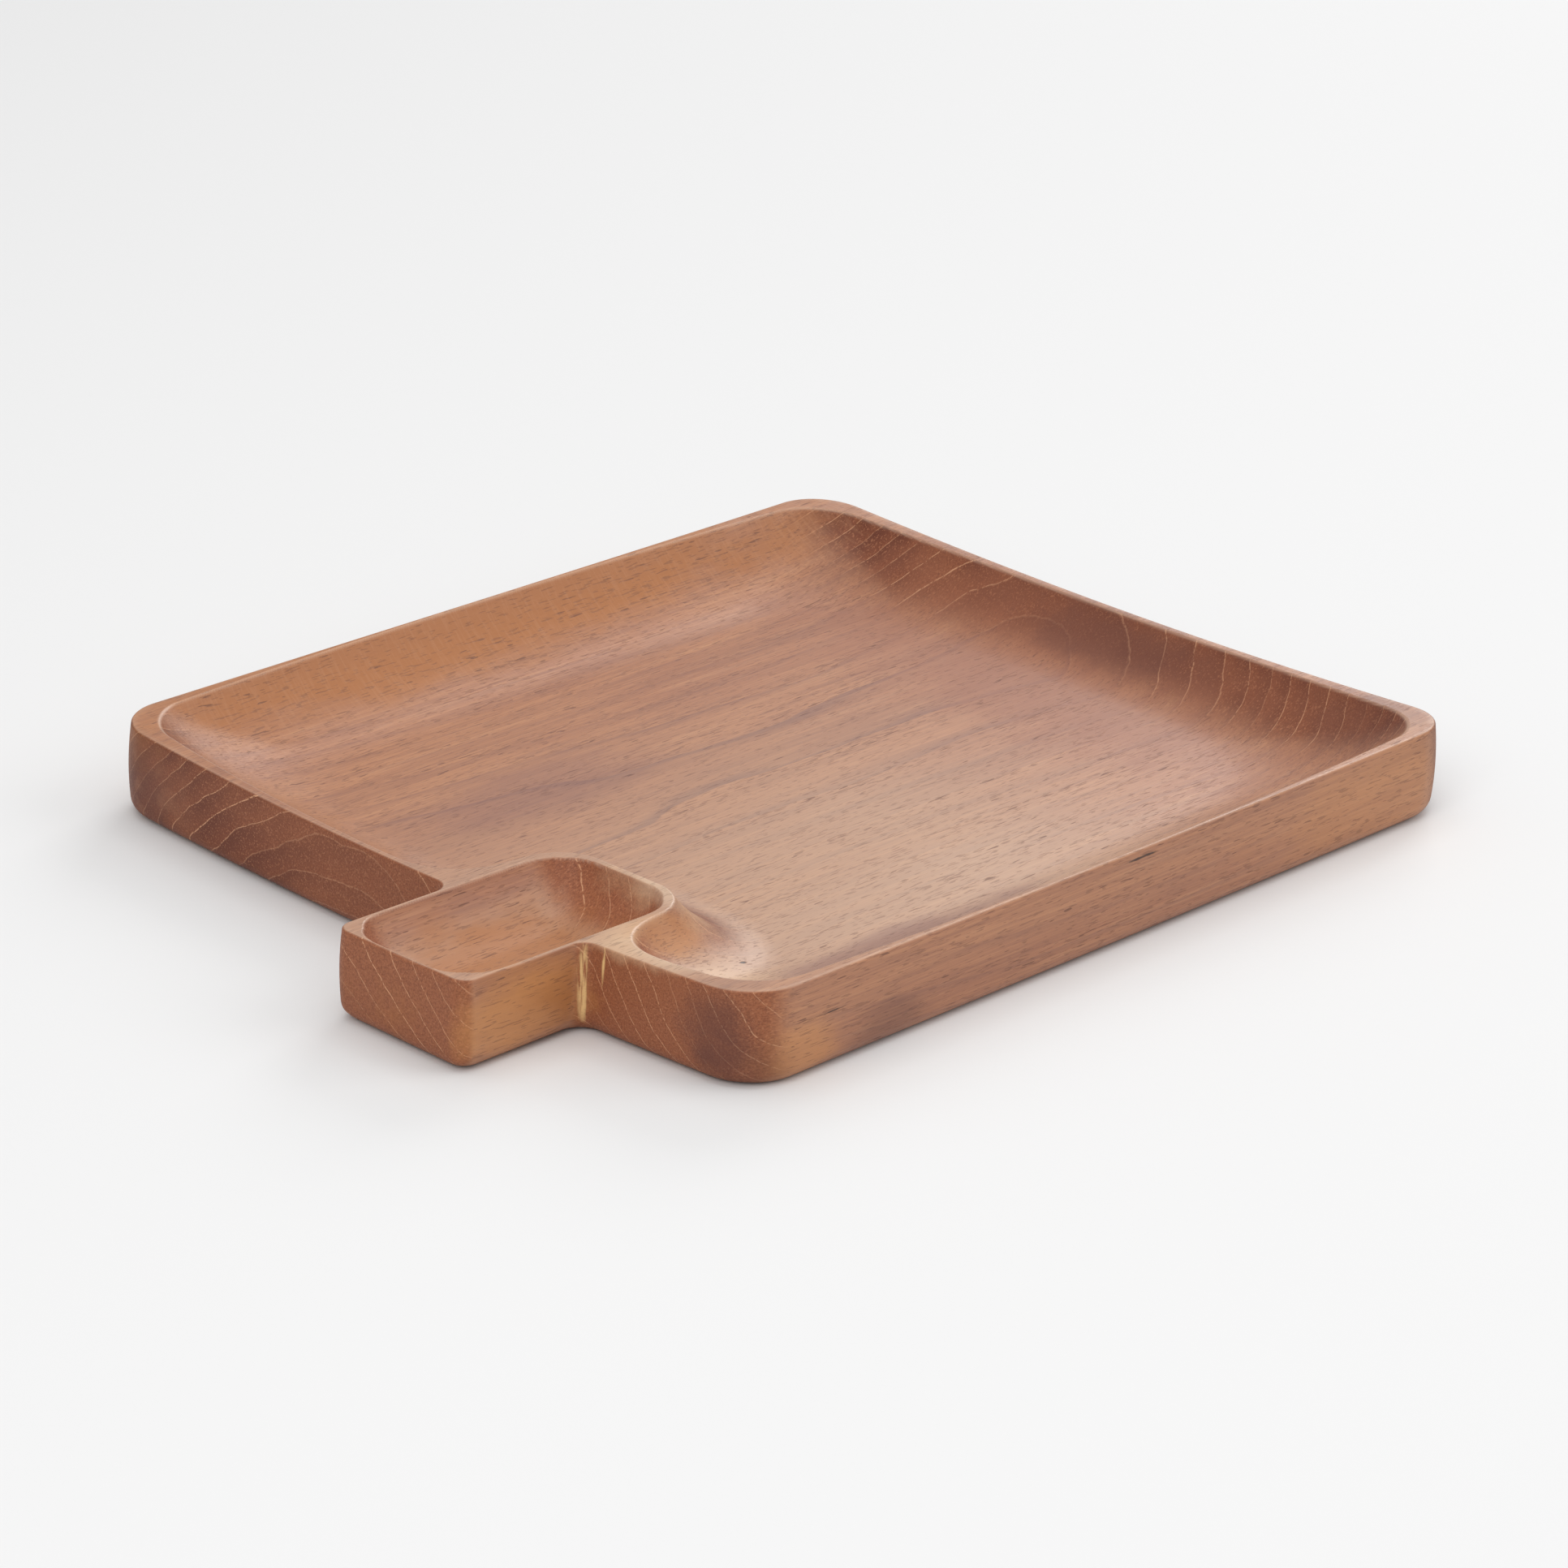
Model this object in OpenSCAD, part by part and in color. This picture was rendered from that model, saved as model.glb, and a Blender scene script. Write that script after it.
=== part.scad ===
// Paddle-shaped serving tray milled from one plank of teak.
// A broad shallow well holds food, and a small dip bowl is scooped into the handle.
// Millimetres. +Z is up, the handle points to -Y, and the origin is the middle of the footprint.

/* [Tray body] */
// Width over the bulge of the long walls
tray_w = 234; // [200:1:300]
// Length from the tip of the handle to the far end
overall_len = 307; // [270:1:380]
// Height of the plank
tray_h = 25.4; // [20:0.2:34]
// Radius of the four outer corners, seen from above
corner_r = 16.5; // [12:0.5:30]
// How far the handle end bows outwards at its middle
near_bow = 4.5; // [2:0.5:9]
// How far the far end bows outwards at its middle
far_bow = 2.5; // [1:0.5:8]
// How far each long wall bows outwards at its middle
side_bow = 0.4; // [0.3:0.1:4]
// How far the outer walls swell between top and bottom
wall_swell = 0.9; // [0.2:0.1:2]
// Radius of the worn bottom edge
foot_r = 4.5; // [2:0.5:6]
// Depth of the shallow dish of the top face at the middle of the handle end
near_dish = 2.2; // [0.4:0.1:3]
// Depth of the shallow dish of the top face at the middle of the far end
far_dish = 4.7; // [0.4:0.1:6]

/* [Handle] */
// Width of the handle
handle_w = 46; // [40:1:60]
// How far the handle stands out from the tray
handle_len = 37; // [28:1:60]
// Distance from the tray's centre line to the handle's centre line
handle_x = 40; // [0:1:60]
// Radius of the handle's outer corners
handle_r = 5; // [4:0.5:12]
// Radius of the inner corners between the handle and the tray
root_r = 4; // [2:0.5:8]

/* [Serving well] */
// Thickness of the floor
floor_t = 8.4; // [6:0.2:12]
// Horizontal run of the cove between floor and rim
cove_run = 32; // [20:1:40]
// Distance from the well, carried up to full height, to the handle end at its middle
near_rim = 0.9; // [-2:0.1:4]
// Distance from the well, carried up to full height, to the far end at its middle
far_rim = -0.8; // [-2:0.1:4]
// Width of the rim at the middle of each long wall
side_rim = 0.5; // [0.4:0.1:4]
// Bow of the well's two ends, which is larger than the bow of the tray's ends
well_end_bow = 11; // [6:0.5:16]
// Bow of the well's two long sides
well_side_bow = 4.5; // [1:0.5:8]
// Corner radius of the well at the rim
well_r = 14; // [8:1:24]
// Corner radius of the well at the floor
well_floor_r = 34; // [20:1:44]

/* [Dip bowl] */
// Length of the dip bowl along the handle
dip_len = 73.5; // [60:0.5:90]
// Depth of the dip bowl
dip_depth = 14.5; // [8:0.5:17]
// Thickness of the dip bowl's edge along the handle
dip_lip = 0.5; // [0.4:0.1:3]
// Corner radius of the dip bowl at its edge
dip_r = 12; // [8:1:16]
// Horizontal run of the dip bowl's cove
dip_run = 19; // [12:1:20]
// Horizontal run of the cove around the outside of the dip bowl
crest_run = 26; // [18:1:32]
// Radius in plan where that cove turns into the end wall of the well
pocket_r = 18; // [8:1:22]

/* [Hidden] */
$fn = 40;
layer = 0.25;                            // thickness of the thin slices that hulls run through
block_h = tray_h + 2;                     // height of the block that the top face is cut down from
big_fn = 300;                             // segments of the very large bow circles
over = 1;                                 // how far cutting shapes run past what they cut
well_slices = 9;                          // steps of the well's cove
dip_slices = 7;                           // steps of the dip bowl's cove
flare_stops = [0.2, 0.6, 0.85, 1];        // fractions of the flare's run where its rings meet
min_handle_r = 4;                         // least radius of the handle's corners near its top
min_dip_r = 2.5;                          // least radius of the dip bowl's corners on its floor
well_grow = 0.5;                          // how far the well widens above its rim
dip_grow = 0.3;                           // how far the dip bowl widens above its edge
wall_lap = 3;                             // how far the pocket corners lap onto the end wall
floor_gap = 8;                            // clear strip that keeps them off the flat floor
near_y = handle_len - overall_len / 2;    // middle of the handle end of the body
far_y = overall_len / 2;                  // middle of the far end of the body
well_depth = tray_h - floor_t;
well_near_y = near_y + near_rim;
well_far_y = far_y - far_rim;
well_w = tray_w - 2 * wall_swell - 2 * side_rim;
dip_w = handle_w - 2 * wall_swell - 2 * dip_lip;
dip_near_y = -overall_len / 2 + wall_swell + dip_lip;
dip_far_y = dip_near_y + dip_len;

// Radius of the circle whose arc bows out by `bow` over a chord of length `chord`
function bow_radius(chord, bow) = (chord * chord / 4 + bow * bow) / (2 * bow);

// Rise of a circular cove, from 0 to 1, at the fraction s of its horizontal run
function cove_rise(s, run, depth) =
    let (r = (run * run + depth * depth) / (2 * depth))
    (r - sqrt(r * r - s * s * run * run)) / depth;

// Inset of the outer wall from its widest line at height z
function wall_inset(z) =
    wall_swell * pow(2 * z / tray_h - 1, 2)
    + (z < foot_r ? foot_r - sqrt(foot_r * foot_r - pow(foot_r - z, 2)) : 0);

// Heights at which the outer wall is sliced, closer together round its bottom edge
wall_heights = concat(
    [for (t = [0 : 22.5 : 67.5]) foot_r * (1 - cos(t))],
    [for (f = [0 : 0.2 : 1]) foot_r + f * (block_h - layer - foot_r)]);

// A thin horizontal slice of a plan at height z
module slice(z) {
    translate([0, 0, z]) linear_extrude(layer) children();
}

// A rectangle whose four sides bow outwards and whose corners are round
module bowed_plan(w, y0, y1, bow_side, bow_near, bow_far, r) {
    len_y = y1 - y0;
    r_side = bow_radius(len_y, bow_side);
    r_near = bow_radius(w, bow_near);
    r_far = bow_radius(w, bow_far);
    offset(r = r) offset(delta = -r) intersection() {
        translate([w / 2 - r_side, (y0 + y1) / 2]) circle(r_side, $fn = big_fn);
        translate([r_side - w / 2, (y0 + y1) / 2]) circle(r_side, $fn = big_fn);
        translate([0, y0 + r_near]) circle(r_near, $fn = big_fn);
        translate([0, y1 - r_far]) circle(r_far, $fn = big_fn);
        translate([0, (y0 + y1) / 2]) square([w, len_y], center = true);
    }
}

module body_plan(inset = 0) {
    bowed_plan(tray_w - 2 * inset, near_y + inset, far_y - inset,
        side_bow, near_bow, far_bow, corner_r - inset);
}

module handle_plan(inset = 0) {
    r = max(handle_r - inset, min_handle_r);
    y0 = -overall_len / 2 + inset;
    translate([handle_x, 0]) hull() {
        for (sx = [-1, 1])
            translate([sx * (handle_w / 2 - inset - r), y0 + r]) circle(r);
        translate([-handle_w / 2 + inset, near_y]) square([handle_w - 2 * inset, 2 * corner_r]);
    }
}

module well_plan(inset = 0, r = well_r) {
    bowed_plan(well_w - 2 * inset, well_near_y + inset, well_far_y - inset,
        well_side_bow, well_end_bow, well_end_bow, r);
}

// Plan of the dip bowl, grown outwards by a distance or shrunk by a negative one
module dip_plan(grow = 0) {
    r = max(dip_r + grow, min_dip_r);
    translate([handle_x, 0]) hull()
        for (sx = [-1, 1], y = [dip_near_y - grow + r, dip_far_y + grow - r])
            translate([sx * (dip_w / 2 + grow - r), y]) circle(r);
}

// Outer block of the tray without the handle
module body_block() {
    hull() for (z = wall_heights) slice(z) body_plan(wall_inset(z));
}

// Outer block of the handle, long enough to run into the body
module handle_block() {
    hull() for (z = wall_heights) slice(z) handle_plan(wall_inset(z));
}

// Upright coves in the two corners between the handle and the body
module root_fillets() {
    bow_r = bow_radius(tray_w, near_bow);
    reach = root_r + 2;         // size of the block that the cove is cut from
    lap = root_r * 0.6;         // how far that block runs into the body
    cove_r = root_r + 0.4;
    cove_off = root_r + 0.7;    // a little more than cove_r, so that no sliver is left at its ends
    for (sx = [-1, 1]) {
        x = handle_x + sx * (handle_w / 2 - wall_swell);
        y = near_y + wall_swell + bow_r - sqrt(bow_r * bow_r - x * x);
        translate([x, y, foot_r]) linear_extrude(block_h - foot_r - over) difference() {
            translate([-reach / 2, -root_r]) square([reach, reach + lap]);
            translate([-sx * reach, -2 * reach]) square([reach, 3 * reach]);
            translate([sx * cove_off, -cove_off]) circle(cove_r);
        }
    }
}

// Depth of the dished top face below the plank's height, on the centre line, at a distance y
function dish_depth(y) = near_dish + (far_dish - near_dish) * (y - near_y) / (far_y - near_y);

// Thin upright plate that fills everything above the dish at the distance y
module dish_plate(y) {
    r = bow_radius(tray_w, dish_depth(y));
    translate([0, y, tray_h - dish_depth(y)]) rotate([90, 0, 0]) linear_extrude(layer)
        intersection() {
            translate([0, r]) circle(r, $fn = 4 * big_fn);
            translate([-tray_w, 0]) square([2 * tray_w, tray_h]);
        }
}

// Space above the dished top face, which gets deeper towards the far end
module dish_space() {
    hull() {
        dish_plate(-overall_len / 2 - 2 * over);
        dish_plate(overall_len / 2 + 2 * over);
    }
}

// Space of the well, from the flat floor up its coves and out past the rim
module well_space() {
    hull() {
        for (i = [0 : well_slices]) {
            s = i / well_slices;
            translate([0, 0, floor_t + well_depth * cove_rise(s, cove_run, well_depth)])
                linear_extrude(layer)
                    well_plan(cove_run * (1 - s), well_floor_r + s * (well_r - well_floor_r));
        }
        translate([0, 0, block_h + over]) linear_extrude(layer) well_plan(-well_grow, well_r);
    }
}

// One straight-sided ring of the flare around the dip bowl, between two fractions of its run
module flare_ring(s0, s1) {
    z0 = floor_t + well_depth * cove_rise(s0, crest_run, well_depth);
    z1 = floor_t + well_depth * cove_rise(s1, crest_run, well_depth);
    hull() {
        translate([0, 0, s0 == 0 ? floor_t - over : z0]) linear_extrude(layer)
            dip_plan(dip_lip + crest_run * (1 - s0));
        translate([0, 0, s1 == 1 ? block_h + 2 * over : z1]) linear_extrude(layer)
            dip_plan(dip_lip + crest_run * (1 - s1));
    }
}

// Wood left standing between the well and the dip bowl
module dip_wall() {
    flare_ring(flare_stops[0], flare_stops[1]);
    flare_ring(flare_stops[1], flare_stops[2]);
    flare_ring(flare_stops[2], flare_stops[3]);
    // Round the two upright corners between that wall and the end wall of the well
    translate([0, 0, floor_t]) linear_extrude(tray_h) difference() {
        offset(r = -pocket_r) offset(delta = pocket_r) {
            dip_plan(dip_lip);
            difference() {
                body_plan(wall_swell);
                well_plan(wall_lap);
            }
        }
        well_plan(cove_run + floor_gap);
    }
}

// Hollow of the dip bowl
module dip_space() {
    hull() {
        for (i = [0 : dip_slices]) {
            s = i / dip_slices;
            translate([0, 0, tray_h - dip_depth + dip_depth * cove_rise(s, dip_run, dip_depth)])
                linear_extrude(layer) dip_plan(-dip_run * (1 - s));
        }
        translate([0, 0, block_h + over]) linear_extrude(layer) dip_plan(dip_grow);
    }
}

// The whole tray, which is one milled piece
module tray() {
    color("peru") difference() {
        union() {
            body_block();
            handle_block();
            root_fillets();
        }
        difference() {
            well_space();
            dip_wall();
        }
        dip_space();
        dish_space();
    }
}

tray();
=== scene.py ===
import math

import bpy
import numpy as np
from mathutils import Matrix, Vector, geometry


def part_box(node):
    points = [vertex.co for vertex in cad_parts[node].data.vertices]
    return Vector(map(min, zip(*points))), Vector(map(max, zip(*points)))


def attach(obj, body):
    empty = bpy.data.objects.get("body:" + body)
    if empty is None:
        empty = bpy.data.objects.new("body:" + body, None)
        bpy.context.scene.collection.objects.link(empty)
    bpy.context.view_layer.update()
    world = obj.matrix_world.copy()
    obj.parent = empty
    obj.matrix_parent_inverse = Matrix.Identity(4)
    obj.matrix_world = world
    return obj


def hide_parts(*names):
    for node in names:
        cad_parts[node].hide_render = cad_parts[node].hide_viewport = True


# Teak serving tray with a handle that is scooped out as a dip bowl.
# Lengths in this file are millimetres in the CAD frame until MM turns them into metres.
# Only the lights and the camera's clipping distances are in metres from the start.

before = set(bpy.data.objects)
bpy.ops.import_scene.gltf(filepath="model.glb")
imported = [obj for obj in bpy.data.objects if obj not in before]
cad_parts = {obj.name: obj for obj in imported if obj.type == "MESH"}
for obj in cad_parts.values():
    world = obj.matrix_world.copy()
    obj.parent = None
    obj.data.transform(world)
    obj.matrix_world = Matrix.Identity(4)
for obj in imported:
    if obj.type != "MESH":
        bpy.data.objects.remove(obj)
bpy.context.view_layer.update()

MM = 0.001
CAD_LOW, CAD_HIGH = (np.array(corner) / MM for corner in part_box("tray"))

# ---------------------------------------------------------------------------
# Driving dimensions. They are the CAD model's, except that the rim edges are sanded round, the
# dip bowl is 0.6 mm longer with a thinner edge, and the cove round it is 1 mm wider.
# ---------------------------------------------------------------------------
TRAY_W = CAD_HIGH[0] - CAD_LOW[0]
TRAY_LEN = CAD_HIGH[1] - CAD_LOW[1]
TRAY_H = 25.4
CORNER_R = 16.5
NEAR_BOW, FAR_BOW, SIDE_BOW = 4.5, 2.5, 0.4
WALL_SWELL = 0.9
FOOT_R = 4.5
LIP_R = 0.6                # radius of the outer wall's sanded top edge
NEAR_DISH, FAR_DISH = 2.2, 4.7

HANDLE_X, HANDLE_W, HANDLE_LEN = 40.0, 46.0, 37.0
HANDLE_R, ROOT_R = 5.0, 4.0
MIN_GRIP_R = 4.0           # least corner radius of the handle, where its foot is drawn in
TIP_Y = -TRAY_LEN / 2
NEAR_Y = TIP_Y + HANDLE_LEN
FAR_Y = TRAY_LEN / 2

FLOOR_T = 8.4
WELL_DEPTH = TRAY_H - FLOOR_T
COVE_RUN = 32.0
NEAR_RIM, FAR_RIM, SIDE_RIM = 0.9, -0.8, 0.5
WELL_HALF_W = TRAY_W / 2 - WALL_SWELL - SIDE_RIM
WELL_END_BOW, WELL_SIDE_BOW = 11.0, 4.5
WELL_R, WELL_FLOOR_R = 14.0, 34.0

DIP_LEN, DIP_DEPTH, DIP_R, DIP_RUN, DIP_LIP = 74.1, 14.5, 12.0, 19.0, -0.1
DIP_HALF_W = HANDLE_W / 2 - WALL_SWELL - DIP_LIP
DIP_NEAR_Y = TIP_Y + WALL_SWELL + DIP_LIP
DIP_MID_Y = DIP_NEAR_Y + DIP_LEN / 2
CREST_RUN = 27.0

BLEND_POWER = 3.0          # how sharply the coves run into each other
DIP_ROUND = 2.0            # power of the dip bowl's plan at its floor, which is round
DIP_SQUARER = 1.3          # what its rim adds to that power
PAST_RIM = 1.2             # how far a cove is followed, as a fraction of its run: 1 is its rim
WELL_UPRIGHT = 1.19        # the same for the well, just short of where its cove stands upright
EDGE_SOFT = 0.55           # height over which the rim edges are sanded round
HIGHLIGHT_HEIGHT = 0.34         # height over which those edges get a painted pale highlight
WALL_HIGHLIGHT = 0.35           # strength of the painted highlight on the outer wall's top edge
SHOULDER_Z = 18.0          # height from which the outer wall's rings follow the dished rim
DISH_OVER = 2.0            # how far past both ends of the plank its dish is measured
CREST_BAND = 1.0           # height above the rim within which two hollows meet in an edge
NO_EDGE = 99.0             # gap of a point that no edge is near


def bow_radius(chord, bow):
    """Radius of the circle whose arc bows out by `bow` over a chord."""
    return (chord * chord / 4 + bow * bow) / (2 * bow)


def cove_rise(s, run, depth):
    """Rise of a circular cove, 0 at its foot and 1 at its rim, at the fraction s of its run."""
    r = (run * run + depth * depth) / (2 * depth)
    return (r - np.sqrt(np.maximum(r * r - (s * run) ** 2, 0.0))) / depth


def swell_inset(z):
    """How far the outer wall lies inside its widest line at the height z."""
    return WALL_SWELL * (2 * z / TRAY_H - 1) ** 2


# ---------------------------------------------------------------------------
# Height of the upper surface, as one smooth function of x and y
# ---------------------------------------------------------------------------
def dish_depth(y):
    """Depth of the top face's dish on the centre line."""
    return NEAR_DISH + (FAR_DISH - NEAR_DISH) * (y - NEAR_Y) / (FAR_Y - NEAR_Y)


def rim_height(x, y):
    """The plank's top face, dished across its width and more so towards the far end."""
    y0, y1 = TIP_Y - DISH_OVER, FAR_Y + DISH_OVER
    r0, r1 = bow_radius(TRAY_W, dish_depth(y0)), bow_radius(TRAY_W, dish_depth(y1))
    r = r0 + (r1 - r0) * (y - y0) / (y1 - y0)
    return TRAY_H - dish_depth(y) + x * x / (2 * r)


def well_outside(x, y, inset, r):
    """Signed distance to the well's plan at an inset from its rim, with corner radius r."""
    y0 = NEAR_Y + NEAR_RIM
    y1 = FAR_Y - FAR_RIM
    end_r = bow_radius(2 * WELL_HALF_W, WELL_END_BOW)
    side_r = bow_radius(y1 - y0, WELL_SIDE_BOW)
    mid_y = (y0 + y1) / 2
    dx = np.abs(x) - (WELL_HALF_W - inset - (y - mid_y) ** 2 / (2 * side_r))
    end_sag = x * x / (2 * end_r)
    dy = np.maximum(y0 + end_sag + inset - y, y - (y1 - end_sag - inset))
    qx = dx + r
    qy = dy + r
    corner = np.hypot(np.maximum(qx, 0), np.maximum(qy, 0))
    return corner + np.minimum(np.maximum(qx, qy), 0) - r


def well_fraction(x, y):
    """0 on the flat floor, rising to 1 at the rim of the well and on beyond it."""
    low = np.zeros_like(x)
    high = np.full_like(x, PAST_RIM)
    for _ in range(26):
        s = (low + high) / 2
        r = WELL_FLOOR_R + (WELL_R - WELL_FLOOR_R) * s
        inside = well_outside(x, y, COVE_RUN * (1 - s), r) < 0
        high = np.where(inside, s, high)
        low = np.where(inside, low, s)
    return (low + high) / 2


def dip_outside(x, y):
    """Signed distance to the rim of the dip bowl."""
    qx = np.abs(x - HANDLE_X) - DIP_HALF_W + DIP_R
    qy = np.abs(y - DIP_MID_Y) - DIP_LEN / 2 + DIP_R
    corner = np.hypot(np.maximum(qx, 0), np.maximum(qy, 0))
    return corner + np.minimum(np.maximum(qx, qy), 0) - DIP_R


def well_height(x, y):
    """The serving well, whose coves also run up the outside of the dip bowl."""
    wall = well_fraction(x, y)
    crest = np.maximum(1 - (dip_outside(x, y) - DIP_LIP) / CREST_RUN, 0.0)
    s = (wall ** BLEND_POWER + crest ** BLEND_POWER) ** (1 / BLEND_POWER)
    return FLOOR_T + WELL_DEPTH * cove_rise(np.minimum(s, WELL_UPRIGHT), COVE_RUN, WELL_DEPTH)


def dip_height(x, y):
    """The dip bowl: a rounded trough with a bowl-shaped inner end."""
    sx = np.maximum(1 - (DIP_HALF_W - np.abs(x - HANDLE_X)) / DIP_RUN, 0.0)
    sy = np.maximum(1 - (DIP_LEN / 2 - np.abs(y - DIP_MID_Y)) / DIP_RUN, 0.0)
    power = DIP_ROUND + DIP_SQUARER * np.clip(np.maximum(sx, sy), 0, 1) ** 2
    s = (sx ** power + sy ** power) ** (1 / power)
    low = TRAY_H - DIP_DEPTH
    return low + DIP_DEPTH * cove_rise(np.minimum(s, PAST_RIM), DIP_RUN, DIP_DEPTH)


def soft_min(a, b, width):
    """The lower of two heights, with the edge between them rounded."""
    h = np.clip(0.5 + 0.5 * (b - a) / width, 0, 1)
    return b + (a - b) * h - width * h * (1 - h)


def top_height(x, y):
    """Height of the finished upper surface."""
    hollow = soft_min(well_height(x, y), dip_height(x, y), EDGE_SOFT)
    return soft_min(rim_height(x, y), hollow, EDGE_SOFT)


# ---------------------------------------------------------------------------
# Plan outline of the plank, as arcs and lines with fixed numbers of points
# ---------------------------------------------------------------------------
def arc(centre, r, start, end, count):
    """Points of a circular arc between two angles in degrees, without its last point."""
    t = np.radians(start + (end - start) * np.arange(count) / count)
    return np.stack([centre[0] + r * np.cos(t), centre[1] + r * np.sin(t)], 1)


def line(start, end, count):
    """Points of a straight line, without its last point."""
    t = (np.arange(count) / count)[:, None]
    return np.array(start) * (1 - t) + np.array(end) * t


def angle(centre, point):
    """Direction from a centre to a point, in degrees."""
    return math.degrees(math.atan2(point[1] - centre[1], point[0] - centre[0]))


def circle_crossing(c0, r0, c1, r1, side):
    """The crossing of two circles that lies to the left (+1) or right (-1) of the way from c0 to c1."""
    c0, c1 = np.array(c0, float), np.array(c1, float)
    d = np.linalg.norm(c1 - c0)
    u = (c1 - c0) / d
    along = (r0 * r0 - r1 * r1 + d * d) / (2 * d)
    across = math.sqrt(max(r0 * r0 - along * along, 0.0))
    return c0 + u * along + side * across * np.array([-u[1], u[0]])


def plan_outline(inset):
    """The plank's outline, counter-clockwise from its near left corner, drawn in by `inset`."""
    half_w = TRAY_W / 2 - inset
    y0, y1 = NEAR_Y + inset, FAR_Y - inset
    near_r = bow_radius(2 * half_w, NEAR_BOW)
    far_r = bow_radius(2 * half_w, FAR_BOW)
    side_r = bow_radius(y1 - y0, SIDE_BOW)
    near_c, far_c = (0.0, y0 + near_r), (0.0, y1 - far_r)
    right_c, left_c = (half_w - side_r, (y0 + y1) / 2), (side_r - half_w, (y0 + y1) / 2)
    r = CORNER_R - inset

    near_right = circle_crossing(near_c, near_r - r, right_c, side_r - r, 1)
    far_right = circle_crossing(far_c, far_r - r, right_c, side_r - r, -1)
    near_left = near_right * (-1, 1)
    far_left = far_right * (-1, 1)

    grip_half = HANDLE_W / 2 - inset
    grip_r = max(HANDLE_R - inset, MIN_GRIP_R)
    root_r = ROOT_R + inset
    x_left, x_right = HANDLE_X - grip_half, HANDLE_X + grip_half
    tip = TIP_Y + inset

    def root_centre(x):
        return x, near_c[1] - math.sqrt((near_r + root_r) ** 2 - x * x)

    root_l, root_r_c = root_centre(x_left - root_r), root_centre(x_right + root_r)
    wall_angle = {
        "near_left": angle(near_c, near_left), "near_right": angle(near_c, near_right),
        "root_l": angle(near_c, root_l), "root_r": angle(near_c, root_r_c),
    }
    side_low = angle(right_c, near_right)
    side_high = angle(right_c, far_right)
    parts = [
        arc(near_c, near_r, wall_angle["near_left"], wall_angle["root_l"], 70),
        arc(root_l, root_r, wall_angle["root_l"] + 180, 0, 10),
        line((x_left, root_l[1]), (x_left, tip + grip_r), 20),
        arc((x_left + grip_r, tip + grip_r), grip_r, 180, 270, 12),
        line((x_left + grip_r, tip), (x_right - grip_r, tip), 22),
        arc((x_right - grip_r, tip + grip_r), grip_r, 270, 360, 12),
        line((x_right, tip + grip_r), (x_right, root_r_c[1]), 20),
        arc(root_r_c, root_r, 180, wall_angle["root_r"] + 180, 10),
        arc(near_c, near_r, wall_angle["root_r"], wall_angle["near_right"], 24),
        arc(near_right, r, wall_angle["near_right"], side_low, 22),
        arc(right_c, side_r, side_low, side_high, 120),
        arc(far_right, r, side_high, angle(far_c, far_right), 22),
        arc(far_c, far_r, angle(far_c, far_right), angle(far_c, far_left), 100),
        arc(far_left, r, angle(far_c, far_left), 180 - side_high, 22),
        arc(left_c, side_r, 180 - side_high, 180 - side_low, 120),
        arc(near_left, r, 180 - side_low, 360 + wall_angle["near_left"], 22),
    ]
    return np.concatenate(parts)


def outward_normals(loop):
    """Unit normals of a counter-clockwise loop at its points."""
    along = np.roll(loop, -1, 0) - np.roll(loop, 1, 0)
    out = np.stack([along[:, 1], -along[:, 0]], 1)
    return out / np.linalg.norm(out, axis=1, keepdims=True)


# ---------------------------------------------------------------------------
# The wood's mesh: rings up the outer wall, and a triangulated upper surface
# ---------------------------------------------------------------------------
# Spacing of the surface points, from one gap to an edge up to another
POINT_LEVELS = (
    (0.42, 0.0, 1.6),
    (0.84, 1.6, 4.5),
    (1.7, 4.5, 13.0),
    (3.4, 13.0, NO_EDGE),
)


def wall_rings():
    """Closed rings of points from the resting face up to the edge of the top face."""
    rings = []
    for t in np.linspace(0, 90, 9):
        z = FOOT_R * (1 - math.cos(math.radians(t)))
        inset = FOOT_R * (1 - math.sin(math.radians(t))) + swell_inset(z)
        plan = plan_outline(inset)
        rings.append(np.column_stack([plan, np.full(len(plan), z)]))
    for z in np.linspace(FOOT_R, SHOULDER_Z, 7)[1:]:
        plan = plan_outline(swell_inset(z))
        rings.append(np.column_stack([plan, np.full(len(plan), z)]))
    widest = plan_outline(0)
    out = outward_normals(widest)
    edge = widest - out * (WALL_SWELL + LIP_R) * 0.9
    rim = top_height(edge[:, 0], edge[:, 1])
    for f in (0.4, 0.75, 1.0):
        z = SHOULDER_Z + f * (rim - LIP_R - SHOULDER_Z)
        rings.append(np.column_stack([widest - out * swell_inset(z)[:, None], z]))
    for t in (18, 36, 54, 72, 90):
        z = rim - LIP_R * (1 - math.sin(math.radians(t)))
        inset = swell_inset(z) + LIP_R * (1 - math.cos(math.radians(t)))
        rings.append(np.column_stack([widest - out * inset[:, None], z]))
    last = rings[-1]
    last[:, 2] = top_height(last[:, 0], last[:, 1])
    return rings


def distance_inside(points, loop):
    """Distance from each point to a closed loop, negative outside it."""
    a = loop
    b = np.roll(loop, -1, 0)
    best = np.full(len(points), 1e9)
    crossings = np.zeros(len(points), int)
    for (ax, ay), (bx, by) in zip(a, b):
        dx, dy = bx - ax, by - ay
        px, py = points[:, 0] - ax, points[:, 1] - ay
        t = np.clip((px * dx + py * dy) / (dx * dx + dy * dy), 0, 1)
        best = np.minimum(best, np.hypot(px - t * dx, py - t * dy))
        if ay != by:
            spans = (ay > points[:, 1]) != (by > points[:, 1])
            at_x = ax + (points[:, 1] - ay) * dx / dy
            crossings += spans & (points[:, 0] < at_x)
    return np.where(crossings % 2 == 1, best, -best)


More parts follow.
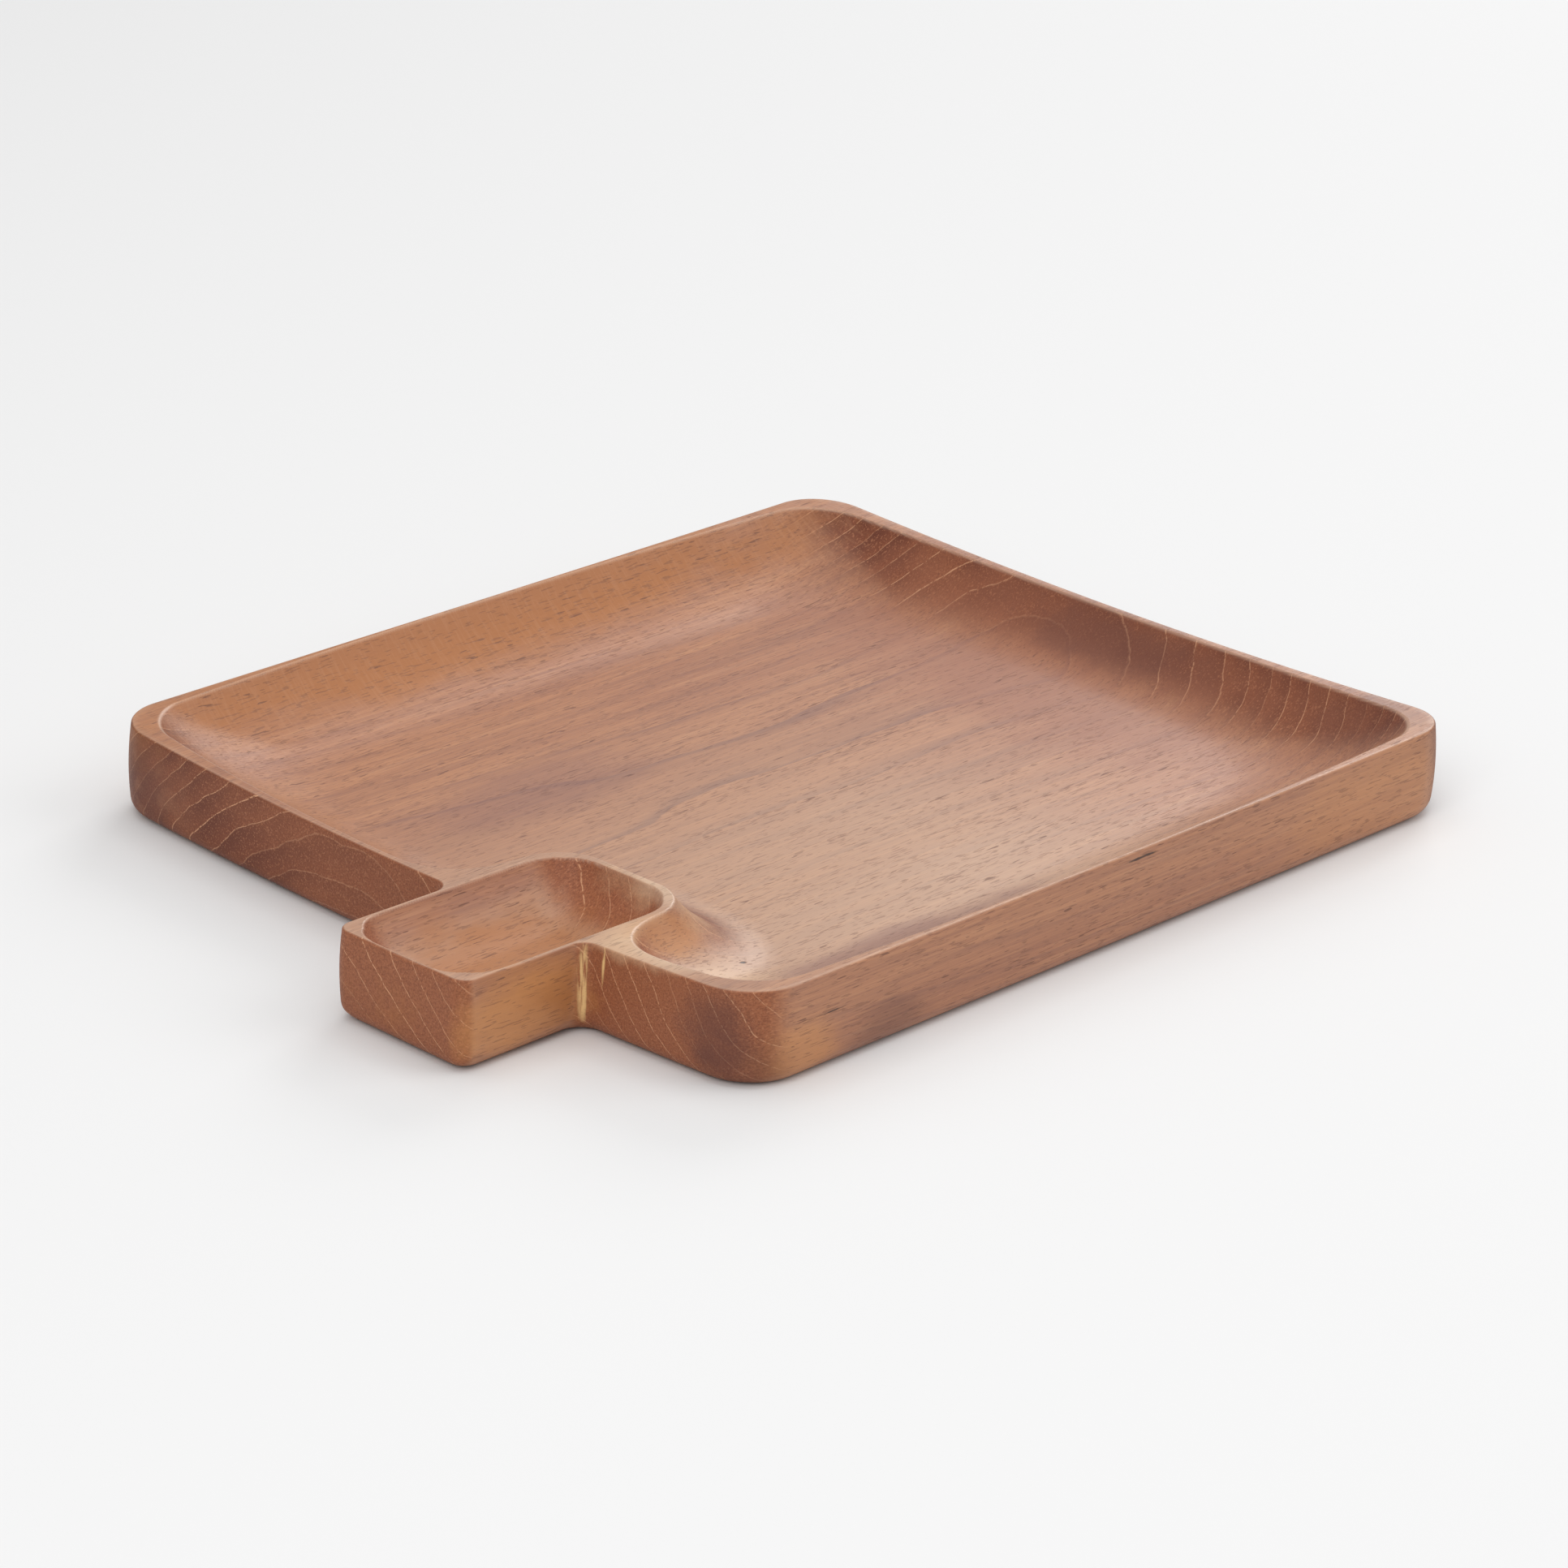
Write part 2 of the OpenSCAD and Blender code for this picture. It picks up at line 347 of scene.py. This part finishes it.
def lattice(step):
    """Points in staggered rows over the whole footprint box."""
    xs = np.arange(-TRAY_W / 2, TRAY_W / 2, step)
    ys = np.arange(TIP_Y, FAR_Y, step)
    gx, gy = np.meshgrid(xs, ys)
    gx[1::2] += step / 2
    return np.stack([gx.ravel(), gy.ravel()], 1)


def edge_gap(points):
    """Height between the rim and the hollows, or between the two hollows: 0 along an edge."""
    x, y = points[:, 0], points[:, 1]
    rim, well, dip = rim_height(x, y), well_height(x, y), dip_height(x, y)
    hollow = np.minimum(well, dip)
    crest = np.where(hollow < rim + CREST_BAND, np.abs(well - dip), NO_EDGE)
    return np.minimum(np.abs(rim - hollow), crest)


def surface_points(outline):
    """Interior points, close together along the rim edges and far apart on the flat floor."""
    kept = []
    clearance = 0.45           # from the outline, in spacings
    for spacing, least_gap, most_gap in POINT_LEVELS:
        points = lattice(spacing)
        gap = edge_gap(points)
        points = points[(gap >= least_gap) & (gap < most_gap)]
        kept.append(points[distance_inside(points, outline) > clearance * spacing])
    return np.concatenate(kept)


def triangulate(loop, points=None):
    """Delaunay triangles inside a closed loop. Returns the plan points and the triangles."""
    count = len(loop)
    plan = loop if points is None else np.concatenate([loop, points])
    edges = [(i, (i + 1) % count) for i in range(count)]
    flat = [Vector((float(px), float(py))) for px, py in plan]
    verts, _, faces, _, _, _ = geometry.delaunay_2d_cdt(flat, edges, [], 1, 1e-5)
    if len(verts) != len(plan):
        raise SystemExit("the triangulation merged or added points")
    return plan, faces


def build_tray():
    """One closed mesh of the whole tray. The upper surface's normals come from its height."""
    rings = wall_rings()
    count = len(rings[0])
    verts = np.concatenate(rings)
    faces = []
    for k in range(len(rings) - 1):
        for j in range(count):
            n = (j + 1) % count
            faces.append((k * count + j, k * count + n, (k + 1) * count + n, (k + 1) * count + j))

    rim_loop = rings[-1][:, :2]
    points = surface_points(rim_loop)
    _, top_faces = triangulate(rim_loop, points)
    heights = top_height(points[:, 0], points[:, 1])
    first_top = (len(rings) - 1) * count
    inner = len(verts)
    verts = np.concatenate([verts, np.column_stack([points, heights])])

    def top_index(i):
        return first_top + i if i < count else inner + i - count

    faces += [tuple(top_index(i) for i in face) for face in top_faces]
    _, base_faces = triangulate(rings[0][:, :2])
    faces += [tuple(reversed(face)) for face in base_faces]

    mesh = bpy.data.meshes.new("tray_wood")
    mesh.from_pydata((verts * MM).tolist(), [], faces)
    mesh.validate()
    mesh.shade_smooth()

    x, y = points[:, 0], points[:, 1]
    step = 0.05
    slope_x = (top_height(x + step, y) - top_height(x - step, y)) / (2 * step)
    slope_y = (top_height(x, y + step) - top_height(x, y - step)) / (2 * step)
    up = np.column_stack([-slope_x, -slope_y, np.ones_like(x)])
    normals = np.zeros_like(verts)
    normals[inner:] = up / np.linalg.norm(up, axis=1, keepdims=True)
    mesh.normals_split_custom_set_from_vertices(normals.tolist())

    # Painted highlight along the rim edges, which are also made a little glossier: 1 on the edges of
    # the hollows, less on the outer wall's top edge, 0 elsewhere
    edge_light = np.zeros(len(verts))
    edge_light[inner - 3 * count:inner] = WALL_HIGHLIGHT
    edge_light[inner:] = np.exp(-(edge_gap(points) / HIGHLIGHT_HEIGHT) ** 2)
    attribute = mesh.attributes.new("edge_highlight", "FLOAT", "POINT")
    attribute.data.foreach_set("value", edge_light)
    return bpy.data.objects.new("tray_wood", mesh)


# ---------------------------------------------------------------------------
# Node helpers
# ---------------------------------------------------------------------------
class Nodes:
    """Short calls that add and link shader nodes, so that a field reads like a formula."""

    def __init__(self, tree):
        self.tree = tree

    def put(self, socket, value):
        if isinstance(value, bpy.types.NodeSocket):
            self.tree.links.new(value, socket)
        else:
            socket.default_value = value

    def math(self, operation, *values):
        node = self.tree.nodes.new("ShaderNodeMath")
        node.operation = operation
        for socket, value in zip(node.inputs, values):
            self.put(socket, value)
        return node.outputs[0]

    def add(self, *values):
        total = values[0]
        for value in values[1:]:
            total = self.math("ADD", total, value)
        return total

    def mul(self, *values):
        total = values[0]
        for value in values[1:]:
            total = self.math("MULTIPLY", total, value)
        return total

    def parts(self, vector):
        node = self.tree.nodes.new("ShaderNodeSeparateXYZ")
        self.put(node.inputs[0], vector)
        return node.outputs

    def random(self, seed):
        node = self.tree.nodes.new("ShaderNodeTexWhiteNoise")
        node.noise_dimensions = "1D"
        self.put(node.inputs["W"], seed)
        return node.outputs["Value"]

    def stretch(self, vector, scale):
        node = self.tree.nodes.new("ShaderNodeVectorMath")
        node.operation = "MULTIPLY"
        self.put(node.inputs[0], vector)
        node.inputs[1].default_value = scale
        return node.outputs[0]

    def shift(self, vector, offset):
        node = self.tree.nodes.new("ShaderNodeVectorMath")
        node.operation = "ADD"
        self.put(node.inputs[0], vector)
        node.inputs[1].default_value = offset
        return node.outputs[0]

    def noise(self, vector, scale=(1, 1, 1), detail=2.0, roughness=0.5, offset=(0, 0, 0)):
        """Smooth noise around 0.5, `scale` features per millimetre along each axis."""
        node = self.tree.nodes.new("ShaderNodeTexNoise")
        node.inputs["Scale"].default_value = 1.0
        node.inputs["Detail"].default_value = detail
        node.inputs["Roughness"].default_value = roughness
        self.put(node.inputs["Vector"], self.shift(self.stretch(vector, scale), offset))
        return node.outputs["Fac"]

    def step(self, value, low, high):
        """0 below `low`, 1 above `high`, smooth between. Falls instead where low > high."""
        node = self.tree.nodes.new("ShaderNodeMapRange")
        node.interpolation_type = "SMOOTHSTEP"
        self.put(node.inputs["Value"], value)
        node.inputs["From Min"].default_value = low
        node.inputs["From Max"].default_value = high
        return node.outputs["Result"]

    def mix(self, factor, a, b):
        """Colour a at factor 0 and colour b at factor 1."""
        node = self.tree.nodes.new("ShaderNodeMix")
        node.data_type = "RGBA"
        self.put(node.inputs[0], factor)
        self.put(node.inputs[6], a)
        self.put(node.inputs[7], b)
        return node.outputs[2]

    def blob(self, vector, centre, radii, rough):
        """1 at the centre of an ellipsoid, falling softly to 0 at its ragged edge."""
        local = self.shift(vector, [-c for c in centre])
        local = self.stretch(local, [1 / r for r in radii])
        node = self.tree.nodes.new("ShaderNodeVectorMath")
        node.operation = "LENGTH"
        self.put(node.inputs[0], local)
        ragged = self.mul(self.math("SUBTRACT", rough, 0.5), 1.1)
        distance = self.add(node.outputs["Value"], ragged)
        return self.step(distance, 1.15, 0.35)


def rgb(r, g, b):
    return (r, g, b, 1.0)


# ---------------------------------------------------------------------------
# Teak: growth rings, pores and stains as fields in the solid plank, with patches of painted sheen and
# painted shade among the stains
# ---------------------------------------------------------------------------
RING_STEP = 8.2                    # mean height between two growth rings
RIDGE_X, RIDGE_Y = -18.0, 28.0     # the rings crest at this x, and the crest is lowest at this y
ARCH_R, ARCH_SLOPE = 75.0, 1.55    # how round and how steep the rings' arch is across the plank
RING_SAG = -0.00058                # makes the crest climb towards both ends of the plank
SWAY, RIPPLE, TREMOR = 15.0, 3.4, 0.8     # broad, middling and fine waves in the rings

LONG_BROWN = rgb(0.460, 0.208, 0.106)
LONG_RED = rgb(0.415, 0.178, 0.092)
LONG_DARK = rgb(0.300, 0.128, 0.074)
LONG_PALE = rgb(0.560, 0.290, 0.155)
LATE_WOOD = rgb(0.200, 0.088, 0.070)
# Pale colour of a painted sheen
PAINTED_SHEEN = rgb(0.62, 0.44, 0.31)
# Pale colour of a painted highlight along the rim edges
PAINTED_EDGE_HIGHLIGHT = rgb(0.74, 0.52, 0.38)
END_EARLY = rgb(0.220, 0.065, 0.029)
END_LATE = rgb(0.145, 0.041, 0.021)
END_WARM = rgb(0.37, 0.130, 0.058)
END_SPECK = rgb(0.52, 0.22, 0.11)
END_LINE = rgb(0.72, 0.38, 0.21)
GOLDEN = rgb(0.410, 0.155, 0.047)
AMBER = rgb(0.57, 0.25, 0.085)
PALE_GOLD_AND_SHEEN = rgb(0.68, 0.44, 0.26)
DARK = rgb(0.100, 0.036, 0.030)
REDDISH = rgb(0.310, 0.112, 0.058)
VIOLET = rgb(0.230, 0.105, 0.090)
RESIN = rgb(0.78, 0.50, 0.22)
PORE = rgb(0.120, 0.048, 0.034)
CRACK = rgb(0.030, 0.014, 0.012)

# Soft-edged ellipsoids of other colours, mostly wood stains, some painted sheen and some painted shade
# as marked: colour, strength, centre, radii
STAINS_SHEEN_AND_SHADE = [
    (GOLDEN, 0.88, (-113, 10, 20), (30, 170, 14)),
    (AMBER, 0.75, (63, -136, 11), (8, 24, 15)),
    (GOLDEN, 0.80, (39, -118, 10), (26, 40, 13)),
    (AMBER, 0.60, (117, -96, 7), (12, 15, 11)),
    (AMBER, 0.35, (117, 120, 12), (12, 60, 16)),
    # Golden wood with a painted sheen on the pocket's rim
    (PALE_GOLD_AND_SHEEN, 0.80, (75, -102, 26), (24, 20, 5)),
    (AMBER, 0.50, (67, -92, 19), (8, 16, 8)),
    # The next two: golden wood with a painted sheen on the crest and on the pocket floor
    (PALE_GOLD_AND_SHEEN, 0.70, (50, -72, 20), (26, 12, 9)),
    (PALE_GOLD_AND_SHEEN, 0.50, (86, -88, 10), (20, 20, 6)),
    (GOLDEN, 0.60, (-62, -96, 13), (54, 14, 10)),
    # The next two: painted sheen on the pocket's rim and on the crest
    (PAINTED_SHEEN, 0.50, (84, -106, 25), (16, 8, 4)),
    (PAINTED_SHEEN, 0.50, (56, -80, 24), (18, 8, 4)),
    (REDDISH, 0.65, (0, 114, 11), (100, 34, 12)),
    (REDDISH, 0.55, (0, 142, 17), (110, 14, 12)),
    # Painted shade along the foot of the right cove
    (VIOLET, 0.60, (92, -40, 9), (10, 62, 8)),
    (VIOLET, 0.50, (96, -100, 14), (16, 13, 7)),
    (VIOLET, 0.40, (-38, -36, 8), (18, 46, 5)),
    (DARK, 0.75, (106, -115, 15), (13, 9, 15)),
    # Painted shade low on the near right corner, next to the resting face
    (DARK, 0.55, (111, -110, 6), (14, 14, 10)),
    (DARK, 0.40, (116, -66, 6), (6, 16, 7)),
    (DARK, 0.65, (-106, -115, 12), (24, 8, 13)),
    # The next two: painted shade on the far inner wall and in its right corner
    (DARK, 0.60, (4, 146, 14), (42, 16, 9)),
    (DARK, 0.40, (94, 142, 18), (26, 14, 12)),
]
# The same for resin and for cracks, without the colour and the strength
RESIN_STREAKS = [
    ((64.2, -116.2, 13), (1.0, 1.7, 15)),
    ((62.0, -118.6, 14), (0.7, 1.4, 9)),
    ((69.5, -114.5, 19), (0.6, 1.6, 5)),
]
CRACKS = [
    ((117, 24, 22.6), (2.0, 6.5, 0.45)),
    ((117, -86, 15.2), (2.0, 5.0, 0.25)),
    ((75.5, -73.5, 10), (0.5, 1.3, 1.2)),
]


def growth_rings(n, p, x, y, z):
    """Ring phase, 0 to 1 across each ring, and ring number, from an arched stack of rings."""
    sway = n.mul(n.math("SUBTRACT", n.noise(p, (0.016, 0.005, 0.03)), 0.5), SWAY)
    ripple = n.mul(n.math("SUBTRACT", n.noise(p, (0.085, 0.012, 0.09)), 0.5), RIPPLE)
    tremor = n.mul(n.math("SUBTRACT", n.noise(p, (0.35, 0.03, 0.35)), 0.5), TREMOR)
    across = n.math("SUBTRACT", x, RIDGE_X)
    radius = n.math("SQRT", n.math("MULTIPLY_ADD", across, across, ARCH_R ** 2))
    arch = n.mul(n.math("SUBTRACT", radius, ARCH_R), ARCH_SLOPE)
    along = n.math("SUBTRACT", y, RIDGE_Y)
    sag = n.mul(along, along, RING_SAG)
    level = n.add(z, arch, sag, sway, ripple, tremor)
    phase = n.math("MULTIPLY_ADD", level, 1 / RING_STEP, 40.0)
    return n.math("FRACT", phase), n.math("FLOOR", phase)


def pore_field(n, p, ring):
    """Long narrow vessels, crowded on the early side of each ring."""
    crowding = n.noise(p, (0.12, 0.018, 0.12), 2.0, offset=(5, 1, 8))
    early = n.step(ring, 0.42, 0.02)
    more = n.add(n.mul(early, 0.05), n.mul(crowding, 0.12))
    fine = n.noise(p, (2.3, 0.24, 2.3), 1.0, offset=(2, 8, 5))
    fine = n.step(n.add(fine, more), 0.665, 0.72)
    large = n.noise(p, (1.35, 0.14, 1.35), 1.0, offset=(8, 2, 6))
    large = n.step(n.add(large, more), 0.785, 0.82)
    return n.math("MAXIMUM", n.mul(fine, 0.55), large)


def long_grain_colour(n, p, ring, fibre, broad, up):
    """Colour of the faces cut along the fibres: streaks, faint rings and a painted sheen on the floor.
    """
    x, y, z = n.parts(p)
    late_band = n.mul(n.step(ring, 0.62, 0.97), n.step(ring, 1.0, 0.985))
    dark_line = n.mul(n.step(ring, 0.86, 0.965), n.step(ring, 1.0, 0.98))
    flat_cut = n.step(n.math("ABSOLUTE", n.math("SUBTRACT", x, RIDGE_X)), 44.0, 12.0)
    dark_line = n.mul(dark_line, n.add(0.14, n.mul(flat_cut, 0.5)), n.step(z, 19.0, 11.0))
    streak = n.noise(p, (0.22, 0.006, 0.22), 3.0, 0.55, offset=(3, 0, 9))

    colour = n.mix(n.step(broad, 0.35, 0.65), LONG_BROWN, LONG_RED)
    colour = n.mix(n.mul(n.step(streak, 0.42, 0.72), 0.50), colour, LONG_DARK)
    colour = n.mix(n.mul(n.step(streak, 0.46, 0.25), 0.40), colour, LONG_PALE)
    colour = n.mix(n.mul(late_band, 0.16), colour, LATE_WOOD)
    colour = n.mix(dark_line, colour, LATE_WOOD)
    colour = n.mix(n.mul(n.step(fibre, 0.40, 0.66), 0.30), colour, LATE_WOOD)
    colour = n.mix(n.mul(n.step(fibre, 0.48, 0.30), 0.26), colour, LONG_PALE)
    # Painted sheen: upward faces low in the tray, more towards the near right, are mixed towards a pale
    # colour
    sheen_area = n.mul(n.step(x, -75.0, 70.0), n.step(y, 112.0, 10.0), n.step(z, 27.0, 22.0))
    upward = n.step(up, 0.55, 0.9)
    return n.mix(n.mul(sheen_area, upward, n.add(0.27, n.mul(broad, 0.36))), colour, PAINTED_SHEEN)


def end_grain_colour(n, p, rings, fibre, broad, speck):
    """Colour of the faces cut across the fibres, which drink more oil and show the rings."""
    x, y, _ = n.parts(p)
    ring, ring_number = rings
    ring_strength = n.step(n.random(ring_number), -0.2, 0.9)
    crumble = n.noise(p, (1.3, 0.12, 1.3), 2.0, offset=(7, 3, 1))
    to_line = n.math("MINIMUM", ring, n.math("SUBTRACT", 1.0, ring))
    pale_line = n.mul(n.step(to_line, 0.034, 0.008), n.step(crumble, 0.33, 0.50), ring_strength)

    colour = n.mix(n.step(ring, 0.0, 0.9), END_EARLY, END_LATE)
    warm_patches = n.mul(n.step(broad, 0.4, 0.7), 0.5)
    warm_near_face = n.mul(n.step(x, -70.0, 30.0), n.step(y, -60.0, -80.0), 0.85)
    colour = n.mix(n.math("MAXIMUM", warm_patches, warm_near_face), colour, END_WARM)
    colour = n.mix(n.mul(n.step(fibre, 0.40, 0.62), 0.50), colour, END_LATE)
    colour = n.mix(n.mul(speck, 0.46), colour, END_SPECK)
    return n.mix(n.mul(pale_line, 0.92), colour, END_LINE)


def crack_field(n, p):
    """1 in the few small checks in the wood, 0 elsewhere."""
    edge = n.noise(p, (0.9, 0.3, 0.9), 2.0, 0.6)
    cracks = 0.0
    for centre, radii in CRACKS:
        cracks = n.math("MAXIMUM", cracks, n.blob(p, centre, radii, edge))
    return cracks


def teak_material():
    """Oiled teak, worked out from the position in the solid plank."""
    material = bpy.data.materials.new("teak")
    material.use_nodes = True
    tree = material.node_tree
    shader = tree.nodes["Principled BSDF"]
    n = Nodes(tree)

    coords = tree.nodes.new("ShaderNodeTexCoord")
    p = n.stretch(coords.outputs["Object"], (1 / MM, 1 / MM, 1 / MM))
    x, y, z = n.parts(p)
    _, facing_y, facing_z = n.parts(coords.outputs["Normal"])
    end_grain = n.step(n.math("ABSOLUTE", facing_y), 0.10, 0.56)
    long_grain = n.math("SUBTRACT", 1.0, end_grain)

    # Fields that several layers share
    rings = growth_rings(n, p, x, y, z)
    fibre = n.noise(p, (2.0, 0.035, 2.0), 3.0, 0.65)
    broad = n.noise(p, (0.03, 0.006, 0.04), 2.0, offset=(1, 5, 2))
    rough_edge = n.noise(p, (0.11, 0.045, 0.11), 3.0, 0.6, offset=(9, 9, 3))
    speck = n.step(n.noise(p, (2.0, 0.15, 2.0), 2.0, 0.7, offset=(6, 2, 7)), 0.55, 0.66)
    pore = pore_field(n, p, rings[0])
    cracks = crack_field(n, p)
    edge_light = tree.nodes.new("ShaderNodeAttribute")
    edge_light.attribute_name = "edge_highlight"
    edge_light = edge_light.outputs["Fac"]

    along = long_grain_colour(n, p, rings[0], fibre, broad, facing_z)
    across = end_grain_colour(n, p, rings, fibre, broad, speck)
    colour = n.mix(end_grain, along, across)
    # Wood stains, and patches of painted sheen and painted shade
    for patch_colour, strength, centre, radii in STAINS_SHEEN_AND_SHADE:
        reach = n.mul(n.blob(p, centre, radii, rough_edge), n.add(0.75, n.mul(long_grain, 0.25)))
        colour = n.mix(n.mul(reach, strength), colour, patch_colour)
    smear = n.noise(p, (1.6, 1.6, 0.10), 2.0)
    for centre, radii in RESIN_STREAKS:
        reach = n.mul(n.blob(p, centre, radii, rough_edge), n.step(smear, 0.34, 0.56))
        colour = n.mix(reach, colour, RESIN)
    colour = n.mix(n.mul(pore, n.add(0.22, n.mul(long_grain, 0.42))), colour, PORE)
    ripple = n.noise(p, (0.16, 1.1, 0.16), 2.0, 0.55, offset=(4, 4, 4))
    wavy = n.mul(n.step(ripple, 0.46, 0.70), n.step(x, -70.0, -105.0), 0.14)
    colour = n.mix(wavy, colour, LONG_PALE)
    # Painted highlight: the rim edges are mixed towards a pale colour
    colour = n.mix(n.mul(edge_light, 0.38), colour, PAINTED_EDGE_HIGHLIGHT)
    colour = n.mix(n.mul(cracks, 0.92), colour, CRACK)
    n.put(shader.inputs["Base Color"], colour)

    edge_gloss = n.mul(edge_light, -0.10)
    dry_end = n.mul(end_grain, 0.14)
    roughness = n.add(0.38, edge_gloss, dry_end, n.mul(pore, 0.15), n.mul(fibre, 0.08))
    n.put(shader.inputs["Roughness"], roughness)
    n.put(shader.inputs["Specular IOR Level"], n.add(0.5, n.mul(end_grain, -0.22)))
    shader.inputs["IOR"].default_value = 1.45
    shader.inputs["Coat Weight"].default_value = 0.06
    shader.inputs["Coat Roughness"].default_value = 0.25

    relief = n.add(n.mul(fibre, 0.25), n.mul(pore, -1.0), n.mul(cracks, -3.0), n.mul(speck, 0.15))
    bump = tree.nodes.new("ShaderNodeBump")
    bump.inputs["Strength"].default_value = 0.35
    bump.inputs["Distance"].default_value = 0.12 * MM
    n.put(bump.inputs["Height"], relief)
    n.put(shader.inputs["Normal"], bump.outputs["Normal"])
    return material


# ---------------------------------------------------------------------------
# The tray
# ---------------------------------------------------------------------------
tray = build_tray()
bpy.context.scene.collection.objects.link(tray)
tray.data.materials.append(teak_material())
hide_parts("tray")
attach(tray, "root")


# ---------------------------------------------------------------------------
# Stage: pale floor, soft light, camera
# ---------------------------------------------------------------------------
FLOOR_HALF_W = 4000.0
PAPER_WHITE = 0.81


def make_floor():
    """Pale paper that the tray rests on."""
    half = FLOOR_HALF_W * MM
    corners = [(-half, -half, 0), (half, -half, 0), (half, half, 0), (-half, half, 0)]
    mesh = bpy.data.meshes.new("floor")
    mesh.from_pydata(corners, [], [(0, 1, 2, 3)])
    floor = bpy.data.objects.new("floor", mesh)
    bpy.context.scene.collection.objects.link(floor)
    material = bpy.data.materials.new("floor_paper")
    material.use_nodes = True
    shader = material.node_tree.nodes["Principled BSDF"]
    shader.inputs["Base Color"].default_value = rgb(PAPER_WHITE, PAPER_WHITE, PAPER_WHITE)
    shader.inputs["Roughness"].default_value = 0.9
    shader.inputs["Specular IOR Level"].default_value = 0.1
    mesh.materials.append(material)


AZIMUTH, ELEVATION, ROLL = 43.52, 22.69, 2.0     # degrees; the azimuth turns from -Y towards +X
CAMERA_DISTANCE = 1490.3
SENSOR_W, LENS = 36.0, 130.4
AIM = Vector((-11.6, 30.2, 0.0))

azimuth, elevation, roll = (math.radians(a) for a in (AZIMUTH, ELEVATION, ROLL))
BACK = Vector((math.sin(azimuth) * math.cos(elevation),
               -math.cos(azimuth) * math.cos(elevation), math.sin(elevation)))
RIGHT = Vector((math.cos(azimuth), math.sin(azimuth), 0.0))
AWAY = Vector((-math.sin(azimuth), math.cos(azimuth), 0.0))


def make_camera():
    """The photograph's camera, solved from the tray's straight edges."""
    up = BACK.cross(RIGHT)
    tilted_right = RIGHT * math.cos(roll) + up * math.sin(roll)
    tilted_up = up * math.cos(roll) - RIGHT * math.sin(roll)
    data = bpy.data.cameras.new("camera")
    data.sensor_width = SENSOR_W
    data.lens = LENS
    data.clip_start, data.clip_end = 0.05, 50.0
    camera = bpy.data.objects.new("camera", data)
    place = Matrix((tilted_right, tilted_up, BACK)).transposed().to_4x4()
    place.translation = (AIM + BACK * CAMERA_DISTANCE) * MM
    camera.matrix_world = place
    bpy.context.scene.collection.objects.link(camera)
    bpy.context.scene.camera = camera


def area_light(name, offset, size, watts):
    """A square softbox at `offset` (right, away, up) in metres from the tray, facing it."""
    data = bpy.data.lights.new(name, "AREA")
    data.shape = "SQUARE"
    data.size = size
    data.energy = watts
    light = bpy.data.objects.new(name, data)
    right, away, up = offset
    place = RIGHT * right + AWAY * away + Vector((0, 0, up))
    light.location = place
    light.rotation_mode = "QUATERNION"
    light.rotation_quaternion = (-place).to_track_quat("-Z", "Y")
    bpy.context.scene.collection.objects.link(light)


def make_world(strength):
    """An even white surround."""
    world = bpy.data.worlds.new("studio")
    world.use_nodes = True
    background = world.node_tree.nodes["Background"]
    background.inputs["Color"].default_value = rgb(1.0, 1.0, 1.0)
    background.inputs["Strength"].default_value = strength
    bpy.context.scene.world = world


make_floor()
make_camera()
make_world(0.47)
area_light("top_softbox", (0.0, 0.0, 1.8), 1.6, 11.0)
area_light("front_softbox", (-0.5, -1.5, 1.4), 1.2, 12.5)
area_light("right_softbox", (1.5, -0.1, 1.1), 1.2, 7.0)
area_light("rear_softbox", (0.75, 2.0, 1.12), 1.1, 15.0)
bpy.context.scene.view_settings.view_transform = "Standard"
bpy.context.scene.view_settings.look = "None"
